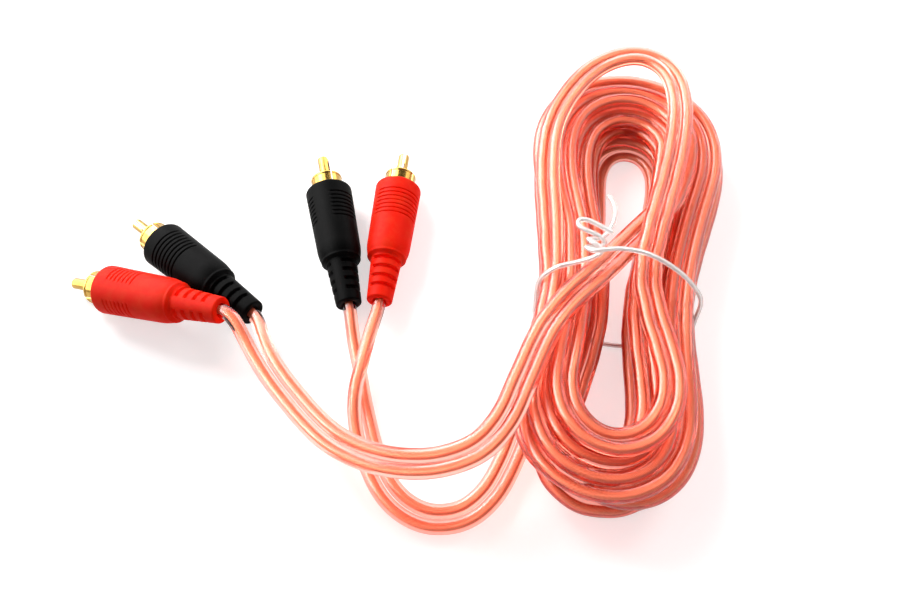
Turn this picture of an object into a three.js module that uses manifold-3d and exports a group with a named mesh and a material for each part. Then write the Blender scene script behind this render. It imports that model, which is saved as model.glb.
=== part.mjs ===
// A stereo audio lead: a twin cord wound in a tied hank, with a red and a black plug at each end.
// Millimetres, +Z up. The lead lies on z = 0.

import * as THREE from 'three';
import { mergeVertices } from 'three/addons/utils/BufferGeometryUtils.js';
import Module from 'manifold-3d';

const wasm = await Module();
wasm.setup();

// clearance between pieces that touch, the height of the hank and the tie above the surface,
// and how far two points may be apart and still be one
const fitGap = 0.3;
const restGap = 0.1;
const weldDistance = 1e-4;
const turnedSides = 18;

// moulded grip with its strain relief, measured back from the grip's front face
const gripFrontDiameter = 13.4;
const gripRearDiameter = 12.3;
const gripLength = 19.5;
const rimRounding = 0.6;
const shoulderLength = 5.5;
const reliefLength = 13.3;
const reliefFrontDiameter = 8.7;
const reliefEndDiameter = 7;

// rings and slots, cut in two opposite rows with a smooth spine between them (the angle in degrees)
const rowAngle = 130;
const ring = { count: 7, first: 4.3, pitch: 1.35, width: 0.6, depth: 0.32 };
const slot = { count: 4, endBand: 3, pitch: 2.8, width: 1.2, depth: 0.9, draft: 0.1 };

// ground shell: a slit sleeve with a rolled lip, a rear wall and a solder tab
const shellDiameter = 8.8;
const shellWall = 0.4;
const shellReach = 4.8;
const shellSeat = 6.5;
const lipLength = 0.8;
const lipRise = 0.15;
const shellSlitCount = 4;
const shellSlitWidth = 0.6;
const shellSlitLength = 4;
const tabWidth = 2;
const tabThickness = 0.5;
const tabLength = 6;
const tabRadius = 3.2;

// centre pin: hollow, split from the tip back, with a solder tail
const pinDiameter = 3.2;
const pinBore = 2.2;
const pinReach = 7.8;
const pinSlitWidth = 0.9;
const pinSlitLength = 8.2;
const pinNose = 0.35;
const pinBody = 7.8;
const tailDiameter = 1.8;
const tailLength = 5.7;

// insulator in the shell, with a neck through the rear wall
const insulatorRecess = 0.8;
const neckDiameter = 4.8;
const neckLength = 1;

// inner mould round the tails
const mouldDiameter = 9.6;
const mouldStraight = 8;
const mouldTaper = 6.5;
const mouldEndDiameter = 6;

// cord: two round conductors side by side
const conductorDiameter = 3.7;
const conductorPitch = 3.8;
const cordSides = 8;
const cordStep = 9;
const legStep = 5;
const straightLeg = 2;

// hank, along its own length from the tie, and across it
const hankPlace = { x: 44.3, y: -6, turn: 9.7 };
const nearReach = 49.5;
const farReach = 65;
const nearSpread = 14;
const waistSpread = 11.4;
const farSpread = 17.5;
const nearBand = 17;
const waistBand = 17.5;
const farBand = 25;
const nearHeight = 17.5;
const waistHeight = 19;
const farHeight = 21.5;
const bandRounding = 6;
const hankStations = 44;

// twist tie: a covered wire round the waist, its two ends twisted together on top
const tieDiameter = 1.3;
const tieSlant = 8.5;
const tieSlack = 1.6;
const tieSides = 6;
const tieStep = 1.6;
const twistBase = [-8.7, 4.6];
const twistLift = 0.2;
const twistTurns = 0.75;
const twistLength = 3.6;
const twistWidth = 4.2;
const bentTail = [
  [-2.1, 0.5, 1.2], [-4.2, 1.3, 1.2], [-5.3, 2.4, 1.2], [-5.0, 3.7, 1.3], [-3.2, 4.0, 1.3], [-0.8, 3.2, 1.3],
  [1.6, 2.1, 1.3], [3.8, 1.1, 1.2]
];
const straightTail = [
  [2.0, 1.6, -1.0], [3.5, 4.7, -0.6], [4.0, 8.1, 0.2], [3.1, 11.0, 0.8], [1.7, 12.9, 1.2]
];

// the four plugs: where the middle of the grip's front face is, in plan, the way the pin points,
// how far it points up, and how far the slotted rows are turned up from lying level (degrees)
const plugPlaces = {
  left_red: { colour: 'red', x: -93.4, y: -0.4, heading: 160.9, rise: -15, roll: 29 },
  left_black: { colour: 'black', x: -81.1, y: 14.4, heading: 140, rise: -6, roll: 114 },
  centre_black: { colour: 'black', x: -35.7, y: 32.7, heading: 102.4, rise: 1.6, roll: 20 },
  centre_red: { colour: 'red', x: -15.2, y: 33.8, heading: 84, rise: 0, roll: 75 }
};

// the free stretches of cord, as points in the layout's plan with their heights
const leftTwinRoute = [
  [-48.0, -23.5, 13.2], [-44.6, -28.2, 13.0], [-39.3, -34.5, 12.9], [-33.8, -40.7, 13.2],
  [-28.0, -46.0, 13.8], [-20.0, -50.4, 14.8], [-11.5, -52.7, 16.0], [-2.3, -52.8, 17.2],
  [6.9, -49.6, 18.6], [12.8, -43.3, 20.0], [17.9, -32.7, 21.4], [23.1, -21.7, 22.3],
  [29.3, -12.6, 22.4], [37.6, -4.6, 22.2], [46.0, 4.6, 21.4], [52.6, 13.2, 18.6], [57.0, 21.5, 15.0]
];
const rightTwinRoute = [
  [-20.2, -46.2, 2.1], [-17.6, -52.4, 2.1], [-12.1, -58.6, 2.1], [-4.8, -62.0, 2.2],
  [3.4, -61.0, 2.3], [9.6, -56.1, 2.6], [14.2, -48.5, 3.0], [17.6, -40.7, 3.6], [21.5, -31.1, 4.5]
];
const legRoutes = {
  left_red: [[-53.2, -17.1, 15.6]],
  left_black: [[-48.9, -15.8, 12.2]],
  centre_black: [[-25.8, -14.6, 3.6], [-23.6, -24.0, 2.1], [-22.0, -31.5, 2.1], [-20.0, -39.0, 2.1]],
  centre_red: [[-21.1, -13.4, 6.6], [-22.8, -22.0, 6.5], [-24.3, -30.0, 5.6], [-24.3, -38.0, 3.2]]
};

const material = (color, roughness, metalness) =>
  new THREE.MeshStandardMaterial({ color, roughness, metalness });
const finishes = {
  red: material(0xe01808, 0.45, 0),
  black: material(0x141414, 0.4, 0),
  gold: material(0xc9a040, 0.25, 1),
  insulator: material(0xe8e4d8, 0.5, 0),
  innerMould: material(0xd8d4c8, 0.6, 0),
  cord: material(0xe8a090, 0.3, 0),
  tie: material(0xd8d8d8, 0.25, 0)
};

// Solids and meshes

function solidOf(geometry) {
  const bare = geometry.clone();
  bare.deleteAttribute('normal');
  bare.deleteAttribute('uv');
  const welded = mergeVertices(bare, weldDistance);
  const corners = welded.index.array;
  const kept = [];
  for (let i = 0; i < corners.length; i += 3) {
    const [a, b, c] = [corners[i], corners[i + 1], corners[i + 2]];
    if (a !== b && b !== c && c !== a) kept.push(a, b, c);
  }
  return new wasm.Manifold(new wasm.Mesh({
    numProp: 3,
    vertProperties: Float32Array.from(welded.attributes.position.array),
    triVerts: Uint32Array.from(kept)
  }));
}

function meshOf(name, solid, finish) {
  const found = solid.getMesh();
  const geometry = new THREE.BufferGeometry();
  geometry.setAttribute('position', new THREE.BufferAttribute(found.vertProperties, 3));
  geometry.setIndex(new THREE.BufferAttribute(found.triVerts, 1));
  geometry.computeVertexNormals();
  const mesh = new THREE.Mesh(geometry, finish);
  mesh.name = name;
  return mesh;
}

// a body turned about z, from a closed outline of [radius, z] points, anticlockwise
function turned(outline, sides = turnedSides) {
  const points = [...outline, outline[0]].map(([r, z]) => new THREE.Vector2(r, z));
  return solidOf(new THREE.LatheGeometry(points, sides).rotateX(Math.PI / 2));
}

function block(width, depth, low, high) {
  return solidOf(new THREE.BoxGeometry(width, depth, high - low).translate(0, 0, (low + high) / 2));
}

function tube(curve, sides, radius, steps) {
  const section = new THREE.Shape(
    Array.from({ length: sides }, (_, i) => {
      const angle = ((i + 0.5) / sides) * 2 * Math.PI;
      return new THREE.Vector2(radius * Math.cos(angle), radius * Math.sin(angle));
    })
  );
  return solidOf(new THREE.ExtrudeGeometry(section, { steps, extrudePath: curve, bevelEnabled: false }));
}

const smoothPath = (points) =>
  new THREE.CatmullRomCurve3(points.map((p) => new THREE.Vector3(...p)), false, 'centripetal');

// Plug, with its pin along +z and the grip's front face at z = 0

const gripEnd = gripLength + shoulderLength + reliefLength;
const shellRadius = shellDiameter / 2;
const boreRadius = shellRadius + fitGap;
const cordBore = conductorDiameter / 2 + fitGap;
const mouldFront = -shellSeat - fitGap;
const mouldShoulder = mouldFront - mouldStraight;
const mouldEnd = mouldShoulder - mouldTaper;
const tailEnd = -pinBody - tailLength;
const cordStart = tailEnd - 2 * fitGap;

function reliefRadiusAt(back) {
  const along = (back - gripLength - shoulderLength) / reliefLength;
  return THREE.MathUtils.lerp(reliefFrontDiameter, reliefEndDiameter, along) / 2;
}

function gripRadiusAt(back) {
  return THREE.MathUtils.lerp(gripFrontDiameter, gripRearDiameter, back / gripLength) / 2;
}

// a ring is a V sunk into the rows; each outline point is [radius, z, how far it sinks in the rows]
function rings() {
  const half = ring.width / 2;
  const points = [];
  for (let i = ring.count - 1; i >= 0; i--) {
    const back = ring.first + i * ring.pitch;
    for (const [offset, sunk] of [[half, 0], [0, ring.depth], [-half, 0]]) {
      points.push([gripRadiusAt(back + offset), -back - offset, sunk]);
    }
  }
  return points;
}

// a slot has a flat floor and walls with a little draft, so that it leaves its mould
function slots() {
  const half = slot.width / 2;
  const floor = half - slot.draft;
  const points = [];
  for (let i = 0; i < slot.count; i++) {
    const back = gripEnd - slot.endBand - half - i * slot.pitch;
    for (const [offset, sunk] of [[half, 0], [floor, slot.depth], [-floor, slot.depth], [-half, 0]]) {
      points.push([reliefRadiusAt(back + offset), -back - offset, sunk]);
    }
  }
  return points;
}

function gripBoot() {
  const frontRadius = gripFrontDiameter / 2;
  const rearRadius = gripRearDiameter / 2;
  const reliefRadius = reliefFrontDiameter / 2;
  const endRadius = reliefEndDiameter / 2;
  const pocketRadius = mouldDiameter / 2 + fitGap;
  const shoulder = [70, 50, 25, 0].map((degrees) => {
    const angle = THREE.MathUtils.degToRad(degrees);
    return [
      reliefRadius + (rearRadius - reliefRadius) * Math.cos(angle),
      -gripLength - shoulderLength * Math.sin(angle)
    ];
  });
  const outline = [
    [cordBore, -gripEnd], [endRadius - rimRounding / 2, -gripEnd], [endRadius, -gripEnd + rimRounding / 2],
    ...slots(), [reliefRadius, -gripLength - shoulderLength], ...shoulder, ...rings(),
    [frontRadius, -rimRounding], [frontRadius - rimRounding * 0.3, -rimRounding * 0.3],
    [frontRadius - rimRounding, 0], [boreRadius, 0], [boreRadius, mouldFront + fitGap],
    [pocketRadius, mouldFront + fitGap], [pocketRadius, mouldShoulder],
    [mouldEndDiameter / 2 + fitGap, mouldEnd - fitGap], [cordBore, mouldEnd - fitGap]
  ];
  const closed = [...outline, outline[0]];
  const turning = new THREE.LatheGeometry(closed.map(([r, z]) => new THREE.Vector2(r, z)), turnedSides);
  const { position } = turning.attributes;
  const rowEdge = Math.cos(THREE.MathUtils.degToRad(rowAngle / 2));
  for (let i = 0; i < position.count; i++) {
    const [radius, , sunk = 0] = closed[i % closed.length];
    const inRow = Math.abs(position.getX(i)) > rowEdge * radius;
    const share = inRow ? (radius - sunk) / radius : 1;
    position.setXYZ(i, position.getX(i) * share, position.getY(i), position.getZ(i) * share);
  }
  return solidOf(turning.rotateX(Math.PI / 2));
}

function groundShell() {
  const inner = shellRadius - shellWall;
  const lipRadius = shellRadius + lipRise;
  const hole = neckDiameter / 2 + fitGap;
  const sleeve = turned([
    [hole, -shellSeat], [shellRadius, -shellSeat], [shellRadius, shellReach - lipLength],
    [lipRadius, shellReach - lipLength * 0.7], [lipRadius, shellReach - lipLength * 0.3],
    [shellRadius - lipRise, shellReach], [inner, shellReach], [inner, -shellSeat + shellWall],
    [hole, -shellSeat + shellWall]
  ]);
  const slitTurn = 180 / shellSlitCount;
  let shell = sleeve;
  for (let i = 0; i < shellSlitCount / 2; i++) {
    const floor = shellReach - shellSlitLength;
    const slit = block(2 * shellDiameter, shellSlitWidth, floor, shellReach + lipLength);
    shell = shell.subtract(slit.rotate([0, 0, slitTurn * (2 * i + 1)]));
  }
  const tab = block(tabWidth, tabThickness, -shellSeat - tabLength, -shellSeat + shellWall / 2);
  return shell.add(tab.translate([0, tabRadius + tabThickness / 2, 0]));
}

function centrePin() {
  const tip = shellReach + pinReach;
  const radius = pinDiameter / 2;
  const bore = pinBore / 2;
  const body = turned([
    [0, tailEnd], [tailDiameter / 2, tailEnd], [tailDiameter / 2, -pinBody], [radius, -pinBody],
    [radius, tip - pinNose], [radius - pinNose / 2, tip], [bore, tip], [bore, -shellSeat], [0, -shellSeat]
  ], turnedSides / 2);
  return body.subtract(block(2 * pinDiameter, pinSlitWidth, tip - pinSlitLength, tip + pinNose));
}

function insulator() {
  const radius = shellRadius - shellWall - fitGap;
  const bore = pinDiameter / 2 + fitGap;
  const neck = neckDiameter / 2;
  const rear = -shellSeat + shellWall + fitGap;
  const neckEnd = -shellSeat - neckLength;
  return turned([
    [bore, neckEnd], [neck, neckEnd], [neck, rear], [radius, rear], [radius, -insulatorRecess],
    [bore, -insulatorRecess]
  ]);
}

function innerMould() {
  const radius = mouldDiameter / 2;
  const neckPocket = neckDiameter / 2 + fitGap;
  const neckFloor = -shellSeat - neckLength - fitGap;
  const tailBore = tailDiameter / 2 + fitGap;
  const pinFloor = -pinBody - fitGap;
  const pinPocket = pinDiameter / 2 + fitGap;
  const mould = turned([
    [cordBore, mouldEnd], [mouldEndDiameter / 2, mouldEnd], [radius, mouldShoulder], [radius, mouldFront],
    [neckPocket, mouldFront], [neckPocket, neckFloor], [pinPocket, neckFloor], [pinPocket, pinFloor],
    [tailBore, pinFloor], [tailBore, tailEnd - fitGap], [cordBore, tailEnd - fitGap]
  ]);
  const pocket = block(
    tabWidth + 2 * fitGap, tabThickness + 2 * fitGap, -shellSeat - tabLength - fitGap, mouldFront + fitGap
  );
  return mould.subtract(pocket.translate([0, tabRadius + tabThickness / 2, 0]));
}

function plugAxes({ heading, rise, roll }) {
  const [turn, lift, twist] = [heading, rise, roll].map(THREE.MathUtils.degToRad);
  const pin = new THREE.Vector3(
    Math.cos(turn) * Math.cos(lift), Math.sin(turn) * Math.cos(lift), Math.sin(lift)
  );
  const side = new THREE.Vector3(pin.y, -pin.x, 0).normalize();
  const top = side.clone().cross(pin);
  const rows = side.multiplyScalar(Math.cos(twist)).add(top.multiplyScalar(Math.sin(twist)));
  return { pin, rows, spine: pin.clone().cross(rows) };
}

// a plug rests on its rim
const frontOf = (place) => new THREE.Vector3(
  place.x, place.y, (gripFrontDiameter / 2) * Math.cos(THREE.MathUtils.degToRad(place.rise))
);

function plug(name, place) {
  const { pin, rows, spine } = plugAxes(place);
  const group = new THREE.Group();
  group.setRotationFromMatrix(new THREE.Matrix4().makeBasis(rows, spine, pin));
  group.position.copy(frontOf(place));
  group.add(
    meshOf(`${name}_grip`, gripBoot(), finishes[place.colour]),
    meshOf(`${name}_ground_shell`, groundShell(), finishes.gold),
    meshOf(`${name}_centre_pin`, centrePin(), finishes.gold),
    meshOf(`${name}_insulator`, insulator(), finishes.insulator),
    meshOf(`${name}_inner_mould`, innerMould(), finishes.innerMould)
  );
  return group;
}

// Hank

const mixAlong = (v, near, waist, far) => {
  const end = v < 0 ? near : far;
  const share = THREE.MathUtils.smoothstep(Math.abs(v), 0, v < 0 ? nearReach : farReach);
  return THREE.MathUtils.lerp(waist, end, share);
};

// the middle of the band, in the hank's own plan: u across, v along
function hankLine() {
  const points = [];
  const nearMiddle = -(nearReach - nearSpread);
  const farMiddle = farReach - farSpread;
  for (const degrees of [-90, -45, 0]) {
    const angle = THREE.MathUtils.degToRad(degrees);
    points.push([nearSpread * Math.cos(angle), nearMiddle + nearSpread * Math.sin(angle)]);
  }
  points.push([waistSpread, 0]);
  for (const degrees of [0, 45, 90]) {
    const angle = THREE.MathUtils.degToRad(degrees);
    points.push([farSpread * Math.cos(angle), farMiddle + farSpread * Math.sin(angle)]);
  }
  const mirrored = points.slice(1, -1).reverse().map(([u, v]) => [-u, v]);
  return new THREE.CatmullRomCurve3(
    [...points, ...mirrored].map(([u, v]) => new THREE.Vector3(u, v, 0)), true, 'centripetal'
  );
}

// the waist is lifted clear of the tie that passes under it
function hankBottom(v) {
  const lift = tieDiameter + 2 * fitGap;
  return restGap + lift * Math.exp(-(((v + tieSlant / 2) / (2 * tieSlant)) ** 2));
}

// a round-cornered band section, grown on all sides by the given amount
function bandSection(v, grown) {
  const half = mixAlong(v, nearBand, waistBand, farBand) / 2 + grown;
  const low = hankBottom(v) - grown;
  const high = mixAlong(v, nearHeight, waistHeight, farHeight) + grown;
  const round = bandRounding;
  const cut = round * 0.3;
  return [
    [half - round, low], [half - cut, low + cut], [half, low + round], [half, high - round],
    [half - cut, high - cut], [half - round, high], [round - half, high], [cut - half, high - cut],
    [-half, high - round], [-half, low + round], [cut - half, low + cut], [round - half, low]
  ];
}

function hankSolid(grown = 0) {
  const line = hankLine();
  const positions = [];
  const rim = bandSection(0, 0).length;
  for (let i = 0; i < hankStations; i++) {
    const at = line.getPointAt(i / hankStations);
    const along = line.getTangentAt(i / hankStations);
    for (const [out, up] of bandSection(at.y, grown)) {
      positions.push(at.x + along.y * out, at.y - along.x * out, up);
    }
  }
  const corners = [];
  for (let i = 0; i < hankStations; i++) {
    const next = (i + 1) % hankStations;
    for (let j = 0; j < rim; j++) {
      const k = (j + 1) % rim;
      const [a, b, c, d] = [i * rim + j, i * rim + k, next * rim + k, next * rim + j];
      corners.push(a, c, b, a, d, c);
    }
  }
  const geometry = new THREE.BufferGeometry();
  geometry.setAttribute('position', new THREE.Float32BufferAttribute(positions, 3));
  geometry.setIndex(corners);
  const turn = THREE.MathUtils.degToRad(-hankPlace.turn);
  return solidOf(geometry.rotateZ(turn).translate(hankPlace.x, hankPlace.y, 0));
}

// Cords

const stepsFor = (curve, step) => Math.max(4, Math.round(curve.getLength() / step));

// the twin cord lies flat: its two conductors side by side across the way it runs
function twinCord(route) {
  const curve = smoothPath(route);
  const radius = conductorDiameter / 2;
  const offset = conductorPitch / 2;
  const section = new THREE.Shape();
  const arcSides = cordSides / 2;
  for (let i = 0; i <= arcSides; i++) {
    const angle = (i / arcSides) * Math.PI;
    section[i ? 'lineTo' : 'moveTo'](radius * Math.cos(angle), offset + radius * Math.sin(angle));
  }
  for (let i = 0; i <= arcSides; i++) {
    const angle = Math.PI + (i / arcSides) * Math.PI;
    section.lineTo(radius * Math.cos(angle), -offset + radius * Math.sin(angle));
  }
  section.closePath();
  const steps = stepsFor(curve, cordStep);
  return solidOf(new THREE.ExtrudeGeometry(section, { steps, extrudePath: curve, bevelEnabled: false }));
}

// where a conductor leaves the twin cord's split end: 1 is the left one, looking from the split along
// the twin cord
function splitEnd(route, side) {
  const start = new THREE.Vector3(...route[0]);
  const along = new THREE.Vector3(...route[1]).sub(start).normalize();
  const across = new THREE.Vector3(-along.y, along.x, 0).normalize();
  const end = start.addScaledVector(across, (side * conductorPitch) / 2);
  return { end: end.addScaledVector(along, -fitGap), along };
}

function leg(place, points, route, side) {
  const { pin } = plugAxes(place);
  const front = frontOf(place);
  const onAxis = (back) => front.clone().addScaledVector(pin, -back).toArray();
  const { end, along } = splitEnd(route, side);
  const inside = [-cordStart, (gripEnd - cordStart) / 2, gripEnd - 1, gripEnd + straightLeg].map(onAxis);
  const approach = end.clone().addScaledVector(along, -straightLeg).toArray();
  const curve = smoothPath([...inside, ...points, approach, end.toArray()]);
  return tube(curve, cordSides, conductorDiameter / 2, stepsFor(curve, legStep));
}

// Twist tie

// worked out in the hank's own plan, over the twin cord that crosses the waist, and then turned with it
function tieRoute() {
  const radius = tieDiameter / 2;
  const outer = waistSpread + waistBand / 2 + fitGap + radius;
  const floor = radius + restGap;
  const top = waistHeight + conductorDiameter + 2 * fitGap + radius + tieSlack;
  const base = new THREE.Vector3(...twistBase, top + twistLift);
  const axis = new THREE.Vector3(0.14, 0.98, 0.14).normalize();
  const across = new THREE.Vector3().crossVectors(axis, new THREE.Vector3(0, 0, 1)).normalize();
  const upward = across.clone().cross(axis);
  // loosely twisted, so each turn is an oval lying on the hank
  const strand = (phase) => {
    const points = [];
    const count = Math.round(twistTurns * 8);
    for (let i = 0; i <= count; i++) {
      const angle = phase + (i / count) * twistTurns * 2 * Math.PI;
      points.push(
        base.clone().addScaledVector(axis, (i / count) * twistLength)
          .addScaledVector(across, (twistWidth / 2) * Math.cos(angle))
          .addScaledVector(upward, (radius + fitGap) * Math.sin(angle))
      );
    }
    return points;
  };
  const [fromLeft, fromRight] = [strand(0), strand(Math.PI)];
  const end = fromLeft.at(-1).clone().add(fromRight.at(-1)).divideScalar(2);
  const tail = (points) => points.map(([x, y, z]) => end.clone().add(new THREE.Vector3(x, y, z)));
  const around = [
    [-outer + 12.4, 3.2, top - 1.4], [-outer + 7.9, 2, waistHeight + 3.2],
    [-outer + 3.7, 0.6, waistHeight + 2.1], [-outer + 0.2, -0.8, waistHeight - 2.6],
    [-outer, -2.5, waistHeight / 2], [-outer + 0.6, -4.5, 3.6], [-outer + 3, -6, floor + 0.8],
    [-outer + 5.5, -6.8, floor], [-outer + 8, -7.5, floor], [0, -tieSlant, floor],
    [outer - 8, -7.2, floor], [outer - 5.5, -6.5, floor], [outer - 3, -5.7, floor + 0.8],
    [outer - 0.6, -4, 3.6], [outer, -1.5, waistHeight / 2], [outer - 0.3, 0.8, waistHeight - 3.5],
    [outer - 5, 3, waistHeight + 1.6], [11.5, 4.6, top - 2.5], [6, 5.8, top - 0.6],
    [1.5, 5.9, top + 0.4], [-3, 4.9, top + 1.5], [-8.9, 3.2, top + 1.8]
  ].map((p) => new THREE.Vector3(...p));
  // the end on top is bent back in a narrow loop, and the other one stands off towards the far end
  const path = [
    ...tail(straightTail).reverse(), ...fromLeft.reverse(), ...around, ...fromRight, ...tail(bentTail)
  ];
  const turn = new THREE.Matrix4().makeRotationZ(THREE.MathUtils.degToRad(-hankPlace.turn));
  const move = new THREE.Matrix4().makeTranslation(hankPlace.x, hankPlace.y, 0);
  return path.map((p) => p.applyMatrix4(turn).applyMatrix4(move));
}

function twistTie() {
  const curve = new THREE.CatmullRomCurve3(tieRoute(), false, 'centripetal');
  const steps = Math.round(curve.getLength() / tieStep);
  return tube(curve, tieSides, tieDiameter / 2, steps);
}

// Assembly

const lead = new THREE.Group();
for (const [name, place] of Object.entries(plugPlaces)) lead.add(plug(name, place));
const tie = meshOf('twist_tie', twistTie(), finishes.tie);
lead.add(tie);

// the origin is under the middle of the plugs and the tie
lead.updateMatrixWorld(true);
const box = new THREE.Box3().setFromObject(lead, true);
const middle = box.getCenter(new THREE.Vector3());

const aroundHank = hankSolid(fitGap);
const twins = {
  left_twin_cord: twinCord(leftTwinRoute).subtract(aroundHank),
  right_twin_cord: twinCord(rightTwinRoute).subtract(aroundHank)
};
for (const [name, solid] of Object.entries(twins)) lead.add(meshOf(name, solid, finishes.cord));
const legs = {
  left_red: leg(plugPlaces.left_red, legRoutes.left_red, leftTwinRoute, -1),
  left_black: leg(plugPlaces.left_black, legRoutes.left_black, leftTwinRoute, 1),
  centre_black: leg(plugPlaces.centre_black, legRoutes.centre_black, rightTwinRoute, 1),
  centre_red: leg(plugPlaces.centre_red, legRoutes.centre_red, rightTwinRoute, -1)
};
for (const [name, solid] of Object.entries(legs)) lead.add(meshOf(`${name}_leg`, solid, finishes.cord));
lead.add(meshOf('hank', hankSolid(), finishes.cord));
lead.position.set(-middle.x, -middle.y, -box.min.z);

const part = new THREE.Group();
part.add(lead);

export default part;
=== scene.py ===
# A stereo audio lead: clear twin cord in a tied hank, with a red and a black plug at each end.
import math
import bpy
import numpy as np
from mathutils import Matrix, Vector


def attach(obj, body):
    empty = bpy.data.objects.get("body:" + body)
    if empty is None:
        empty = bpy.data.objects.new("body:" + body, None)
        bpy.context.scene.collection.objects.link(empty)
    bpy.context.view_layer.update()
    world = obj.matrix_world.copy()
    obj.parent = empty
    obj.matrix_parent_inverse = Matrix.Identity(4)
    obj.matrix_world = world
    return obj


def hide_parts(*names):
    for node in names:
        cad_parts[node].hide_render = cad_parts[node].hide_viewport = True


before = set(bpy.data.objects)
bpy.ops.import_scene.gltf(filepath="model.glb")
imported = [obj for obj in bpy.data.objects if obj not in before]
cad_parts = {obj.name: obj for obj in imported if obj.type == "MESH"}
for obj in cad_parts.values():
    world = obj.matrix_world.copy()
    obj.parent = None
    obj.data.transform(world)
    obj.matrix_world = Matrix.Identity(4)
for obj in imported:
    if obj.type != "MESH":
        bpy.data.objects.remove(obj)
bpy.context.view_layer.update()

# everything is laid out in millimetres, and moved to the frame of the CAD part in metres at the end
layoutShift = np.array([19.7985, -15.2648, 0.0168])


def toFrame(points):
    return (np.asarray(points, float) + layoutShift) / 1000


# camera, and where a pixel of the picture looks

shot = {"lens": 32.0, "sensor": 36, "clip": 0.01, "place": (0.0, -112.5, 194.9), "tilt": 30.0,
        "focal": 800.0, "middle": (450, 300)}


def makeCamera():
    data = bpy.data.cameras.new("camera")
    data.lens = shot["lens"]
    data.sensor_width = shot["sensor"]
    data.clip_start = shot["clip"]
    camera = bpy.data.objects.new("camera", data)
    camera.location = Vector(toFrame(shot["place"]))
    camera.rotation_euler = (math.radians(shot["tilt"]), 0, 0)
    bpy.context.scene.collection.objects.link(camera)
    bpy.context.scene.camera = camera


def seenAt(x, y, height):
    # the layout point of that height at a pixel of the 900 by 600 picture
    tilt = math.radians(shot["tilt"])
    ahead = np.array([0, math.sin(tilt), -math.cos(tilt)])
    upward = np.array([0, math.cos(tilt), math.sin(tilt)])
    right = np.array([1, 0, 0])
    x, y = x - shot["middle"][0], y - shot["middle"][1]
    way = ahead + right * x / shot["focal"] - upward * y / shot["focal"]
    start = np.array(shot["place"])
    return start + way * (height - start[2]) / way[2]


makeCamera()

# curves and tubes

def smoothThrough(points, closed=False, perSpan=24):
    # a centripetal Catmull-Rom curve, as in the CAD part
    p = np.asarray(points, float)
    if closed:
        ends = np.vstack([p[-1], p, p[0], p[1]])
    else:
        ends = np.vstack([2 * p[0] - p[1], p, 2 * p[-1] - p[-2]])
    found = []
    for i in range(len(ends) - 3):
        a, b, c, d = ends[i:i + 4]
        t = np.cumsum([0.0] + [max(np.linalg.norm(k - j), 1e-6) ** 0.5 for j, k in ((a, b), (b, c), (c, d))])
        x = np.linspace(t[1], t[2], perSpan, endpoint=False)[:, None]
        ab = (t[1] - x) / t[1] * a + x / t[1] * b
        bc = (t[2] - x) / (t[2] - t[1]) * b + (x - t[1]) / (t[2] - t[1]) * c
        cd = (t[3] - x) / (t[3] - t[2]) * c + (x - t[2]) / (t[3] - t[2]) * d
        abc = (t[2] - x) / t[2] * ab + x / t[2] * bc
        bcd = (t[3] - x) / (t[3] - t[1]) * bc + (x - t[1]) / (t[3] - t[1]) * cd
        found.append((t[2] - x) / (t[2] - t[1]) * abc + (x - t[1]) / (t[2] - t[1]) * bcd)
    found = np.vstack(found)
    return found if closed else np.vstack([found, p[-1]])


def evenly(points, step):
    far = np.r_[0, np.cumsum(np.linalg.norm(np.diff(points, axis=0), axis=1))]
    at = np.linspace(0, far[-1], max(2, int(round(far[-1] / step)) + 1))
    return np.stack([np.interp(at, far, points[:, k]) for k in range(points.shape[1])], 1)


def roundWindow(count):
    window = np.hanning(count)[1:-1]
    return window / window.sum()


def evened(values, window):
    return np.convolve(np.pad(values, len(window) // 2, mode="edge"), window, "valid")


def alongOf(points):
    along = np.gradient(points, axis=0)
    return along / np.maximum(np.linalg.norm(along, axis=1), 1e-9)[:, None]


def meshPiece(name, vertices, faces, material, uv=None):
    mesh = bpy.data.meshes.new(name)
    mesh.from_pydata(vertices.tolist(), [], faces)
    if uv is not None:
        layer = mesh.uv_layers.new(name="turns")
        layer.data.foreach_set("uv", np.asarray(uv, np.float32).ravel())
    mesh.polygons.foreach_set("use_smooth", np.full(len(mesh.polygons), True))
    mesh.materials.append(material)
    mesh.update()
    piece = bpy.data.objects.new(name, mesh)
    bpy.context.scene.collection.objects.link(piece)
    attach(piece, "root")
    return piece


def gridFaces(rows, columns):
    i, j = np.meshgrid(np.arange(rows - 1), np.arange(columns), indexing="ij")
    k = (j + 1) % columns
    return np.stack([i * columns + j, i * columns + k, (i + 1) * columns + k, (i + 1) * columns + j],
                    -1).reshape(-1, 4).tolist()


def tubePiece(name, path, radius, sides, material):
    # a round tube along a path in millimetres, with its length and its turn in the UV map
    along = alongOf(path)
    side = np.cross(along[0], [0, 0, 1.0])
    sideways = np.empty_like(path)
    for i, way in enumerate(along):
        side = side - way * (side @ way)
        side /= np.linalg.norm(side)
        sideways[i] = side
    upward = np.cross(along, sideways)
    angle = np.arange(sides) * 2 * math.pi / sides
    ring = np.cos(angle)[None, :, None] * sideways[:, None] + np.sin(angle)[None, :, None] * upward[:, None]
    vertices = (path[:, None] + ring * radius).reshape(-1, 3)
    count = len(path)
    faces = gridFaces(count, sides)
    i, j = np.meshgrid(np.arange(count - 1), np.arange(sides), indexing="ij")
    far = np.r_[0, np.cumsum(np.linalg.norm(np.diff(path, axis=0), axis=1))] / 1000
    u0, u1, v0 = far[i], far[i + 1], j / sides
    v1 = v0 + 1 / sides
    corners = ((u0, v0), (u0, v1), (u1, v1), (u1, v0))
    uv = np.stack([np.stack(corner, -1) for corner in corners], 2).reshape(-1, 2)
    # a flat cap at each end
    faces += [list(range(sides))[::-1], list(range((count - 1) * sides, count * sides))]
    uv = np.vstack([uv, np.zeros((2 * sides, 2))])
    return meshPiece(name, toFrame(vertices), faces, material, uv)


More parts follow.
